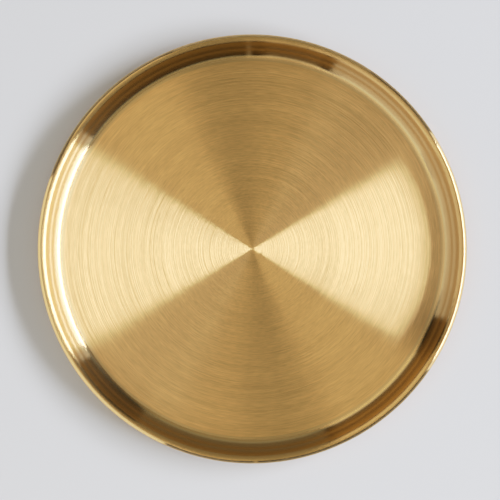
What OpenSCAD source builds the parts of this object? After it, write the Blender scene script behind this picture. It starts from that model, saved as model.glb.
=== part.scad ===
// Thali plate: a round metal plate spun from one disc of sheet, its edge rolled over a wire.
// Lengths are in millimetres and angles in degrees. +Z is up, and the origin is the middle
// of the underside, where the plate stands on the table.

/* [Plate] */
// Outer diameter, over the rolled rim
plate_d = 280; // [220:1:340]
// Height of the rim's crest above the table
plate_h = 12; // [10:0.5:18]
// Thickness of the sheet
sheet_t = 0.8; // [0.6:0.1:1]

/* [Wall] */
// Mean slope of the wall, measured from the table
wall_slope = 48; // [44:1:54]
// How much steeper the wall is at its top than at its foot, which makes it slightly hollow
wall_turn = 10; // [4:1:14]
// Radius of the inside corner between the floor and the wall
foot_r = 6.5; // [4:0.5:9]
// Radius over the top of the bend that turns the wall outwards to the crest
shoulder_r = 3.8; // [3.4:0.1:5]

/* [Rolled rim] */
// Diameter of the wire that the edge is rolled over
wire_d = 2.6; // [2:0.1:3]
// Clearance between the wire and the sheet around it
wire_fit = 0.1; // [0.05:0.01:0.15]
// Gap between the two ends of the wire, where the ring closes
wire_gap = 1; // [0.5:0.1:2]
// Gap between the sheet's cut edge and the underside of the shoulder
edge_gap = 0.2; // [0.1:0.05:0.3]

/* [Hidden] */
$fn = 180;

// Furthest that the outline may stray from a bend's true arc.
bend_sag = 0.01;

// The roll and the shoulder meet at the crest, so both have their centres straight below it.
roll_bore_r = wire_d / 2 + wire_fit;
roll_r = roll_bore_r + sheet_t;
crest_r = plate_d / 2 - roll_r;
roll_centre = [crest_r, plate_h - roll_r];
shoulder_centre = [crest_r, plate_h - shoulder_r];

// The roll turns under until its cut edge stands off the shoulder's underside by the gap.
// The triangle of the two centres and that edge gives the angle past the three-quarter turn.
centres_apart = shoulder_r - roll_r;
edge_reach = shoulder_r - sheet_t - edge_gap;
edge_sine = (edge_reach ^ 2 - roll_r ^ 2 - centres_apart ^ 2) / (2 * roll_r * centres_apart);
roll_turn = 270 + asin(edge_sine);

// The wall is a long arc that takes the height left between the foot and the shoulder.
foot_turn = wall_slope - wall_turn / 2;
top_turn = wall_slope + wall_turn / 2;
bends_rise = foot_r * (1 - cos(foot_turn)) + shoulder_r * (1 - cos(top_turn));
wall_r = (plate_h - sheet_t - bends_rise) / (cos(foot_turn) - cos(top_turn));

// The foot and the wall bend the same way and the shoulder bends back, each starting where the
// last one ends, so their centres follow from the shoulder's.
wall_centre = shoulder_centre + (wall_r + shoulder_r) * [-sin(top_turn), cos(top_turn)];
foot_centre = wall_centre + (wall_r - foot_r) * [sin(foot_turn), -cos(foot_turn)];

// The part of a turn that the gap in the wire takes up.
wire_gap_turn = 2 * asin(wire_gap / 2 / crest_r);

// Points on an arc, from one angle on through a turn, which is negative when clockwise.
// An arc that carries on from another starts with its second point.
function arc(centre, r, from, turn, first = 0) =
  let (steps = ceil(abs(turn) / (2 * acos(1 - bend_sag / r))))
  [for (i = [first:steps]) centre + r * [cos(from + turn * i / steps), sin(from + turn * i / steps)]];

// The sheet's section: out along the underside to the cut edge inside the roll,
// and back over the crest and down the wall to the middle of the floor.
module sheet_section() {
  underside = concat(
    [[0, 0]],
    arc(foot_centre, foot_r + sheet_t, -90, foot_turn),
    arc(wall_centre, wall_r + sheet_t, foot_turn - 90, wall_turn, 1),
    arc(shoulder_centre, shoulder_r - sheet_t, 90 + top_turn, -top_turn, 1),
    arc(roll_centre, roll_bore_r, 90, -roll_turn, 1));
  top = concat(
    arc(roll_centre, roll_r, 90 - roll_turn, roll_turn),
    arc(shoulder_centre, shoulder_r, 90, top_turn, 1),
    arc(wall_centre, wall_r, top_turn - 90, -wall_turn, 1),
    arc(foot_centre, foot_r, foot_turn - 90, -foot_turn, 1),
    [[0, sheet_t]]);
  polygon(concat(underside, top));
}

// The spun plate: floor, wall and rolled rim in one piece of sheet.
module plate() {
  color([0.78, 0.62, 0.38])
    rotate_extrude()
      sheet_section();
}

// The wire ring that stiffens the rim, its two ends butted with a small gap.
module rim_wire() {
  color([0.60, 0.60, 0.62])
    rotate_extrude(angle = 360 - wire_gap_turn)
      translate(roll_centre)
        circle(d = wire_d);
}

plate();
rim_wire();
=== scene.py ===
import math

import bpy
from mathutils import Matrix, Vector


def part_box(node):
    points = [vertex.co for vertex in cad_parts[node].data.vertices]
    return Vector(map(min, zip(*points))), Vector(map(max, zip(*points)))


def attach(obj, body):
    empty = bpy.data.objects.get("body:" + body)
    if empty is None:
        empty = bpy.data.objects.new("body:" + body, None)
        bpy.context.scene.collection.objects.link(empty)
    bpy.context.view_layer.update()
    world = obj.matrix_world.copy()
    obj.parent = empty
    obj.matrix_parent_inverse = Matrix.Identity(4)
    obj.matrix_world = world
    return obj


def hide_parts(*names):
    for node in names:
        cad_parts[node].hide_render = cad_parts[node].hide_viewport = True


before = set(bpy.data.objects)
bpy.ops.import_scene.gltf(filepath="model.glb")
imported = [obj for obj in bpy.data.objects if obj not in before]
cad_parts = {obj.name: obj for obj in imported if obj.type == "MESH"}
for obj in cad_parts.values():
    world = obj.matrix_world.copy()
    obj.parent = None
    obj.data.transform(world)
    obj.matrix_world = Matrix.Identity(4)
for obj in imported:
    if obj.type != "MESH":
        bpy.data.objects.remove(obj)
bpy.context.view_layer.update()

# The plate: one disc of gold-coloured stainless sheet, spun over a former into a flat floor, a low
# flared wall and a shoulder, with its edge rolled outwards and under over the rim wire. The floor is
# brushed on the lathe, so its grain runs in rings, and the wall and the rim are polished finer.
plate_low, plate_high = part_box("plate")
wire_low, wire_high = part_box("rim_wire")
sheet_thickness = 0.0008
foot_turn = math.radians(43)
top_turn = math.radians(53)
wall_turn = top_turn - foot_turn
quarter = math.radians(90)
foot_radius = 0.0065
shoulder_radius = 0.0038
edge_gap = 0.0002
rim_radius = min(plate_high.x, plate_high.y, -plate_low.x, -plate_low.y)
rim_height = plate_high.z
roll_height = (wire_low.z + wire_high.z) / 2
roll_radius = rim_height - roll_height
crest_radius = rim_radius - roll_radius
bends_rise = foot_radius * (1 - math.cos(foot_turn)) + shoulder_radius * (1 - math.cos(top_turn))
wall_radius = (rim_height - sheet_thickness - bends_rise) / (math.cos(foot_turn) - math.cos(top_turn))

# The centres of the section's bends, each as a radius from the axis and a height.
roll = (crest_radius, roll_height)
shoulder = (crest_radius, rim_height - shoulder_radius)
wall = (
    shoulder[0] - (wall_radius + shoulder_radius) * math.sin(top_turn),
    shoulder[1] + (wall_radius + shoulder_radius) * math.cos(top_turn),
)
foot = (
    wall[0] + (wall_radius - foot_radius) * math.sin(foot_turn),
    wall[1] - (wall_radius - foot_radius) * math.cos(foot_turn),
)
floor_radius = foot[0]

# The roll turns under until its cut edge stands off the shoulder's underside by the gap.
centres_apart = shoulder_radius - roll_radius
edge_reach = shoulder_radius - sheet_thickness - edge_gap
edge_sine = (edge_reach**2 - roll_radius**2 - centres_apart**2) / (2 * roll_radius * centres_apart)
roll_turn = math.radians(270) + math.asin(edge_sine)


def arc(centre, radius, start, turn, step):
    """Points of the sheet's section round a bend, from one angle on through a turn."""
    count = math.ceil(abs(turn) / step)
    angles = [start + turn * i / count for i in range(count + 1)]
    return [(centre[0] + radius * math.cos(a), centre[1] + radius * math.sin(a)) for a in angles]


def flat_rings(start, end, height, count):
    """Points along a flat stretch of the section, from one radius to short of another."""
    return [(start + (end - start) * i / count, height) for i in range(count)]


mark_radius = 0.1312
mark_width = 0.0011
mark_height = 0.00010


def ring_mark(points):
    """Raises the wall's face a little along one ring, where the spinning tool dwelt."""
    marked = []
    for r, z in points:
        rise = mark_height * math.exp(-(((r - mark_radius) / mark_width) ** 2))
        away = math.hypot(wall[0] - r, wall[1] - z)
        marked.append((r + rise * (wall[0] - r) / away, z + rise * (wall[1] - z) / away))
    return marked


# The roll's outer flank is flattened by the roller: a tight bend at the crest, a long one down the
# flank and a tight one at the plate's outer edge, each running into the next.
flank_low, flank_high = math.radians(46), math.radians(50)
crest_bend = 0.0010
edge_bend = 0.0005
crest = (crest_radius, rim_height - crest_bend)
edge_inset = edge_bend * (1 - math.cos(flank_low))
crest_reach = crest_bend * math.cos(flank_high)
flank_run = rim_radius - edge_inset - crest_radius - crest_reach
flank_bend = flank_run / (math.cos(flank_low) - math.cos(flank_high))
flank = (
    crest[0] + (crest_bend - flank_bend) * math.cos(flank_high),
    crest[1] + (crest_bend - flank_bend) * math.sin(flank_high),
)
edge = (
    flank[0] + (flank_bend - edge_bend) * math.cos(flank_low),
    flank[1] + (flank_bend - edge_bend) * math.sin(flank_low),
)

# The section, out along the underside into the roll, and back over the crest to the middle.
fine, finest, coarse = math.radians(3), math.radians(0.5), math.radians(8)
floor_rings = 12
top_of_plate = (
    arc(roll, roll_radius, quarter - roll_turn, roll_turn - quarter, fine)
    + arc(edge, edge_bend, 0, flank_low, fine)
    + arc(flank, flank_bend, flank_low, flank_high - flank_low, finest)[1:]
    + arc(crest, crest_bend, flank_high, quarter - flank_high, fine)[1:]
    + arc(shoulder, shoulder_radius, quarter, top_turn, fine)[1:]
    + ring_mark(arc(wall, wall_radius, top_turn - quarter, -wall_turn, finest)[1:])
    + arc(foot, foot_radius, foot_turn - quarter, -foot_turn, fine)[1:]
    + flat_rings(floor_radius, 0.0, sheet_thickness, floor_rings)[1:]
)
underside = (
    flat_rings(0.0, floor_radius, 0.0, floor_rings)[1:]
    + arc(foot, foot_radius + sheet_thickness, -quarter, foot_turn, fine)
    + arc(wall, wall_radius + sheet_thickness, foot_turn - quarter, wall_turn, finest)[1:]
    + arc(shoulder, shoulder_radius - sheet_thickness, quarter + top_turn, -top_turn, fine)[1:]
    + arc(roll, roll_radius - sheet_thickness, quarter, -roll_turn, coarse)[1:]
)
steps_round = 360
crease = math.radians(40)


def spun(name, outline, low_pole, high_pole, steps):
    """A mesh of revolution about Z from an outline that leaves one pole and ends at the other."""
    rows = len(outline)
    verts = [(0.0, 0.0, low_pole)]
    for s in range(steps):
        a = 2 * math.pi * s / steps
        verts += [(r * math.cos(a), r * math.sin(a), z) for r, z in outline]
    verts.append((0.0, 0.0, high_pole))
    last = len(verts) - 1
    faces = []
    for s in range(steps):
        here, there = 1 + s * rows, 1 + (s + 1) % steps * rows
        faces.append((0, there, here))
        faces += [(here + i, there + i, there + i + 1, here + i + 1) for i in range(rows - 1)]
        faces.append((here + rows - 1, there + rows - 1, last))
    mesh = bpy.data.meshes.new(name)
    mesh.from_pydata(verts, [], faces)
    mesh.shade_smooth()
    mesh.set_sharp_from_angle(angle=crease)
    piece = bpy.data.objects.new(name, mesh)
    bpy.context.scene.collection.objects.link(piece)
    return piece


spun_plate = spun("spun_plate", underside + top_of_plate, 0.0, sheet_thickness, steps_round)

# The marks of the brush: how many arcs long they are to a turn, how wide across, and how fine. The
# colour takes strokes and flecks alike, and the broad bands fade to a third of that.
stroke_arcs, stroke_width, stroke_detail = 1.2, 0.0008, 3.0
fleck_arcs, fleck_width, fleck_detail = 12.0, 0.0007, 1.0
furrow_arcs, furrow_width, furrow_detail = 0.6, 0.0009, 2.0
band_arcs, band_width, band_detail = 0.3, 0.007, 2.0
line_breakup = 0.6
noise_low, noise_high = 0.25, 0.75
stroke_share, fleck_share = 0.5, 0.5
band_fade = 3

# The polish: how uneven it is, how much smoother along the rings than across, and at the centre.
polish = 0.03
evenness = math.sqrt(0.055)
one_way = 1 - evenness
centre_blur = 0.003
centre_one_way = 0.85 * one_way
haze_one_way = 0.3
haze_turn = 0.25


def add(tree, kind, inputs, output=0, **settings):
    """Adds a shader node with its settings, fills or links its inputs, and returns one output."""
    node = tree.nodes.new(kind)
    for key, value in settings.items():
        setattr(node, key, value)
    for key, value in inputs.items():
        if isinstance(value, bpy.types.NodeSocket):
            tree.links.new(value, node.inputs[key])
        else:
            node.inputs[key].default_value = value
    return node.outputs[output]


def section_radius(tree):
    """How far a point of the surface lies from the axis of the plate."""
    place = add(tree, "ShaderNodeTexCoord", {}, "Object")
    flat = add(tree, "ShaderNodeVectorMath", {0: place, 1: (1, 1, 0)}, operation="MULTIPLY")
    return add(tree, "ShaderNodeVectorMath", {0: flat}, "Value", operation="LENGTH")


def ring_noise(tree, arcs, line_width, detail):
    """Noise drawn out along rings round Z: some arcs long to a turn, and a line's width across."""
    place = add(tree, "ShaderNodeTexCoord", {}, "Object")
    flat = add(tree, "ShaderNodeVectorMath", {0: place, 1: (1, 1, 0)}, operation="MULTIPLY")
    radius = section_radius(tree)
    height = add(tree, "ShaderNodeSeparateXYZ", {0: place}, "Z")
    along_section = add(tree, "ShaderNodeMath", {0: radius, 1: height}, operation="ADD")
    lines = add(tree, "ShaderNodeMath", {0: along_section, 1: line_width}, operation="DIVIDE")
    upright = add(tree, "ShaderNodeCombineXYZ", {"Z": lines})
    outwards = add(tree, "ShaderNodeVectorMath", {0: flat}, operation="NORMALIZE")
    turned = add(tree, "ShaderNodeVectorMath", {0: outwards, "Scale": arcs}, operation="SCALE")
    where = add(tree, "ShaderNodeVectorMath", {0: turned, 1: upright}, operation="ADD")
    noise = {"Vector": where, "Scale": 1.0, "Detail": detail, "Roughness": line_breakup}
    return add(tree, "ShaderNodeTexNoise", noise)


def spread(tree, value, low, high):
    """Stretches a noise's middle range to run from one value to another."""
    reach = {"Value": value, 1: noise_low, 2: noise_high, 3: low, 4: high}
    return add(tree, "ShaderNodeMapRange", reach)


def lathe_gold(name, tint, finish_and_shade, haze, haze_rough, grain, relief):
    """Gold-coloured metal finished on a lathe: rough across its rings, smooth along them, a little hazy.

    The list of finish and painted shade gives radii, how rough the metal is there across its rings, and
    how bright its colour is painted there, as painted shade or painted reflection.
    """
    material = bpy.data.materials.new(name)
    material.use_nodes = True
    tree = material.node_tree
    radius = section_radius(tree)
    place = add(tree, "ShaderNodeMath", {0: radius, 1: rim_radius}, operation="DIVIDE")
    ramp = tree.nodes.new("ShaderNodeValToRGB")
    ramp.color_ramp.interpolation = "EASE"
    stops = ramp.color_ramp.elements
    for _ in finish_and_shade[2:]:
        stops.new(0.5)
    # Red holds the roughness across the rings; green holds a brightness that paints shade and
    # reflections into the colour.
    for stop, (at, rough, bright) in zip(stops, finish_and_shade):
        stop.position = at / rim_radius
        stop.color = (rough, bright, 0, 1)
    tree.links.new(place, ramp.inputs[0])
    rough_across = add(tree, "ShaderNodeSeparateColor", {0: ramp.outputs[0]}, "Red")
    painted_shading = add(tree, "ShaderNodeSeparateColor", {0: ramp.outputs[0]}, "Green")

    strokes = ring_noise(tree, stroke_arcs, stroke_width, stroke_detail)
    flecks = ring_noise(tree, fleck_arcs, fleck_width, fleck_detail)
    furrows = ring_noise(tree, furrow_arcs, furrow_width, furrow_detail)
    bands = ring_noise(tree, band_arcs, band_width, band_detail)
    sparse = add(tree, "ShaderNodeMath", {0: flecks, 1: fleck_share}, operation="MULTIPLY")
    marks = {0: strokes, 1: stroke_share, 2: sparse}
    brushing = add(tree, "ShaderNodeMath", marks, operation="MULTIPLY_ADD")
    shade = spread(tree, brushing, 1 - grain, 1 + grain)
    tone = spread(tree, bands, 1 - grain / band_fade, 1 + grain / band_fade)
    both = add(tree, "ShaderNodeMath", {0: shade, 1: tone}, operation="MULTIPLY")
    # Painted shade and painted reflection: the colour is scaled by the brightness set along the section.
    shown = add(tree, "ShaderNodeMath", {0: both, 1: painted_shading}, operation="MULTIPLY")
    colour = add(tree, "ShaderNodeVectorMath", {0: tint, "Scale": shown}, operation="SCALE")
    bump = add(tree, "ShaderNodeBump", {"Strength": 1.0, "Distance": relief, "Height": furrows})
    tangent = add(tree, "ShaderNodeTangent", {}, direction_type="RADIAL", axis="Z")

    hazy = tree.nodes["Principled BSDF"]
    hazy.inputs["Metallic"].default_value = 1.0
    hazy.inputs["Anisotropic"].default_value = haze_one_way
    hazy.inputs["Anisotropic Rotation"].default_value = haze_turn
    uneven = spread(tree, bands, haze_rough * (1 - polish), haze_rough * (1 + polish))
    linked = {"Base Color": colour, "Roughness": uneven, "Normal": bump, "Tangent": tangent}
    for socket, value in linked.items():
        tree.links.new(value, hazy.inputs[socket])

    scaled = add(tree, "ShaderNodeMath", {0: rough_across, 1: evenness}, operation="MULTIPLY")
    groove_rough = add(tree, "ShaderNodeMath", {0: scaled}, operation="SQRT")
    worn = spread(tree, bands, 1 - polish, 1 + polish)
    centre = {"Value": radius, 1: 0.0, 2: centre_blur, 3: centre_one_way, 4: one_way}
    glint = {
        "Color": colour,
        "Roughness": add(tree, "ShaderNodeMath", {0: groove_rough, 1: worn}, operation="MULTIPLY"),
        "Anisotropy": add(tree, "ShaderNodeMapRange", centre, interpolation_type="SMOOTHSTEP"),
        "Normal": bump,
        "Tangent": tangent,
    }
    grooves = add(tree, "ShaderNodeBsdfAnisotropic", glint, distribution="BECKMANN")
    both_ways = add(tree, "ShaderNodeMixShader", {0: haze, 1: grooves, 2: hazy.outputs[0]})
    tree.links.new(both_ways, tree.nodes["Material Output"].inputs["Surface"])
    return material


# The finish changes with the radius: brushed on the floor, blended up the foot, polished from there on.
# The tints differ from zone to zone to paint the reflections each zone shows, as painted reflection and
# painted shade, though the sheet is one gold-coloured metal all over.
pale_gold = (0.85, 0.525, 0.215)
foot_gold = (0.72, 0.475, 0.21)
wall_gold = (0.68, 0.49, 0.245)
shoulder_gold = (0.74, 0.47, 0.195)
roll_gold = (0.76, 0.51, 0.23)
foot_end = floor_radius + 0.003
wall_start = foot_end + 0.002
wall_end = 0.1335
shoulder_start = 0.1352
floor_finish = [(0.0, 0.60, 1.0), (floor_radius, 0.60, 1.0)]
foot_finish_and_shade = [(floor_radius, 0.60, 1.0), (foot_end, 0.15, 0.92)]
# On the wall the brightness paints shade: its middle is darker than at the foot and the shoulder, where
# painted reflection lightens it.
wall_finish_and_shade = [
    (foot_end, 0.15, 0.95),
    (wall_start, 0.12, 0.66),
    (wall_end, 0.12, 0.64),
    (shoulder_start, 0.19, 0.80),
]
shoulder_finish_and_shade = [(shoulder_start, 0.19, 0.80), (crest_radius, 0.32, 1.0)]
roll_finish = [(crest_radius, 0.07, 1.0), (rim_radius, 0.07, 1.0)]
under_finish = [(0.0, 0.50, 1.0), (rim_radius, 0.50, 1.0)]
brushed = {"haze": 0.05, "haze_rough": 0.70, "grain": 0.25, "relief": 2.5e-4}
polished = {"haze": 0.05, "haze_rough": 0.40, "grain": 0.05, "relief": 1e-6}
burnished = {"haze": 0.02, "haze_rough": 0.40, "grain": 0.03, "relief": 1e-6}
plain = {"haze": 0.20, "haze_rough": 0.75, "grain": 0.08, "relief": 3e-6}
gold_sheet = spun_plate.data.materials
gold_sheet.append(lathe_gold("brushed_floor", pale_gold, floor_finish, **brushed))
gold_sheet.append(lathe_gold("blended_foot", foot_gold, foot_finish_and_shade, **polished))
gold_sheet.append(lathe_gold("polished_wall", wall_gold, wall_finish_and_shade, **polished))
gold_sheet.append(lathe_gold("polished_shoulder", shoulder_gold, shoulder_finish_and_shade, **polished))
gold_sheet.append(lathe_gold("polished_roll", roll_gold, roll_finish, **burnished))
gold_sheet.append(lathe_gold("plain_underside", pale_gold, under_finish, **plain))

# Each face takes the finish of its place on the section.
floor_slot, foot_slot, wall_slot, shoulder_slot, roll_slot, underside_slot = range(6)
roll_polish = math.radians(25)
roll_start = crest_radius + crest_bend * math.sin(roll_polish)
level = 0.9999
floor_top = sheet_thickness * 1.01
for face in spun_plate.data.polygons:
    reach = math.hypot(face.center.x, face.center.y)
    if reach > roll_start:
        face.material_index = roll_slot
    elif face.normal.z < 0:
        face.material_index = underside_slot
    elif face.normal.z > level and face.center.z < floor_top:
        face.material_index = floor_slot
    elif reach < foot_end:
        face.material_index = foot_slot
    elif reach > shoulder_start:
        face.material_index = shoulder_slot
    else:
        face.material_index = wall_slot
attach(spun_plate, "root")
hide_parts("plate")

# The rim wire: a ring of drawn steel wire that lies inside the rolled edge and stiffens it, bent
# round with its two ends butted. Hardly any of it shows behind the edge of the roll.
draw_arcs, draw_width, draw_detail = 1.5, 0.0003, 2.0
steel_dark, steel_light = 0.40, 0.52
steel_rough = 0.4
rim_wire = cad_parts["rim_wire"]
drawn_steel = bpy.data.materials.new("drawn_steel")
drawn_steel.use_nodes = True
steel_tree = drawn_steel.node_tree
steel = steel_tree.nodes["Principled BSDF"]
steel.inputs["Metallic"].default_value = 1.0
draw_lines = ring_noise(steel_tree, draw_arcs, draw_width, draw_detail)
grey = spread(steel_tree, draw_lines, steel_dark, steel_light)
steel_colour = add(steel_tree, "ShaderNodeCombineColor", {0: grey, 1: grey, 2: grey})
steel_tree.links.new(steel_colour, steel.inputs["Base Color"])
steel.inputs["Roughness"].default_value = steel_rough
rim_wire.data.materials.clear()
rim_wire.data.materials.append(drawn_steel)

# The table, the light and the camera: a plain pale surface under a window-like key light from the
# right, a pale fill from the left and a dim overhead, seen from straight above as in the photograph.
table_size = 3.0
table_colour = (0.605, 0.635, 0.715, 1)
bpy.ops.mesh.primitive_plane_add(size=table_size, location=(0, 0, 0))
table = bpy.context.object
table.name = "table"
pale_top = bpy.data.materials.new("pale_table")
pale_top.use_nodes = True
matt = pale_top.node_tree.nodes["Principled BSDF"]
matt.inputs["Base Color"].default_value = table_colour
matt.inputs["Roughness"].default_value = 1.0
matt.inputs["Specular IOR Level"].default_value = 0.0
table.data.materials.append(pale_top)


def panel(name, azimuth, half, low, high, distance, radiance, colour, width=None):
    """A flat light facing the plate, which sees it between two heights and half a width to each side."""
    a, low, high = math.radians(azimuth), math.radians(low), math.radians(high)
    middle = (low + high) / 2
    light = bpy.data.lights.new(name, "AREA")
    light.shape = "RECTANGLE"
    light.size = width or 2 * distance * math.cos(middle) * math.tan(math.radians(half))
    light.size_y = 2 * distance * math.tan((high - low) / 2)
    light.energy = radiance * math.pi * light.size * light.size_y
    light.color = colour
    lamp = bpy.data.objects.new(name, light)
    bpy.context.scene.collection.objects.link(lamp)
    lamp.location = (
        distance * math.cos(a) * math.cos(middle),
        distance * math.sin(a) * math.cos(middle),
        distance * math.sin(middle),
    )
    lamp.rotation_euler = (quarter - middle, 0, a + quarter)
    lamp.visible_camera = False


# Each panel has its azimuth, half width, lowest and highest elevation, all in degrees, then its
# distance in metres, its radiance and its colour.
white = (1, 1, 1)
pale = (1, 0.93, 0.80)
cream = (1, 0.85, 0.60)
straw = (1, 0.92, 0.65)
panel("key", -0.7, 30.3, 18.5, 30, 4.0, 43.5, white)
panel("key_below", -0.7, 34, 0.5, 18, 2.4, 2.0, white)
panel("key_above", -0.7, 34, 31, 62, 2.4, 0.25, white)
panel("key_top", -0.7, 40, 62, 80, 2.4, 0.3, white)
panel("side_right", 47, 14, 1, 60, 2.4, 0.03, cream)
panel("back_low", 84, 28, 0.5, 19, 2.4, 0.2, straw)
panel("back", 84, 28, 19, 35, 2.4, 0.4, straw)
panel("back_high", 84, 28, 35, 65, 2.4, 0.3, straw)
panel("back_left", 131, 18, 19, 45, 2.4, 0.8, cream)
panel("back_left_high", 131, 18, 45, 68, 2.4, 1.75, cream)
panel("left_low", 203, 43, 0.5, 19, 2.4, 1.7, pale)
panel("left", 184, 21, 19, 65, 2.4, 1.0, pale)
panel("front_left", 226, 21, 19, 65, 0.8, 1.25, pale)
panel("front_edge", 258, 10, 19, 65, 0.7, 0.8, cream)
panel("front", 297, 29, 35, 65, 0.7, 0.53, straw)
panel("ceiling_left", 180, 45, 65, 80, 2.4, 0.8, cream)
panel("ceiling_back", 90, 45, 65, 80, 2.4, 0.38, straw)
panel("ceiling_front", 270, 45, 65, 80, 2.4, 0.4, straw)
panel("ceiling", 0, 0, 80, 100, 2.4, 0.26, cream, width=0.84)
panel("slit", -89, 0.6, 1, 60, 2.4, 0.4, cream)

room_colour = (1, 0.78, 0.55, 1)
room_glow = 0.01
world = bpy.data.worlds.new("studio")
bpy.context.scene.world = world
world.use_nodes = True
world.node_tree.nodes["Background"].inputs["Color"].default_value = room_colour
world.node_tree.nodes["Background"].inputs["Strength"].default_value = room_glow

camera_height = 2.2
film_width = 36.0
photo_width = 500
plate_pixel_radius = 214.6
plate_pixel_centre = (252.3, 249.0)
camera = bpy.data.cameras.new("camera")
camera.sensor_width = film_width
focal_pixels = plate_pixel_radius * (camera_height - roll_height) / rim_radius
camera.lens = focal_pixels * camera.sensor_width / photo_width
view = bpy.data.objects.new("camera", camera)
bpy.context.scene.collection.objects.link(view)
pixel = camera_height / focal_pixels
view.location = (
    (photo_width / 2 - plate_pixel_centre[0]) * pixel,
    (plate_pixel_centre[1] - photo_width / 2) * pixel,
    camera_height,
)
bpy.context.scene.camera = view

# A tone curve like a film's: straight in the dark and middle tones, rolling off in the bright ones,
# up to the brightness that shows as full white.
full = 2.5
roll_off = ((0.4, 0.39), (0.6, 0.53), (0.8, 0.62), (1.0, 0.70), (1.2, 0.775), (1.6, 0.87), (2.0, 0.96))
settings = bpy.context.scene.view_settings
settings.view_transform = "Standard"
settings.use_curve_mapping = True
settings.curve_mapping.white_level = (full, full, full)
tone_curve = settings.curve_mapping.curves[3]
tone_curve.points[0].location = (0, 0)
tone_curve.points[1].location = (1, 1)
for bright, shown in roll_off:
    tone_curve.points.new(bright / full, shown)
settings.curve_mapping.update()
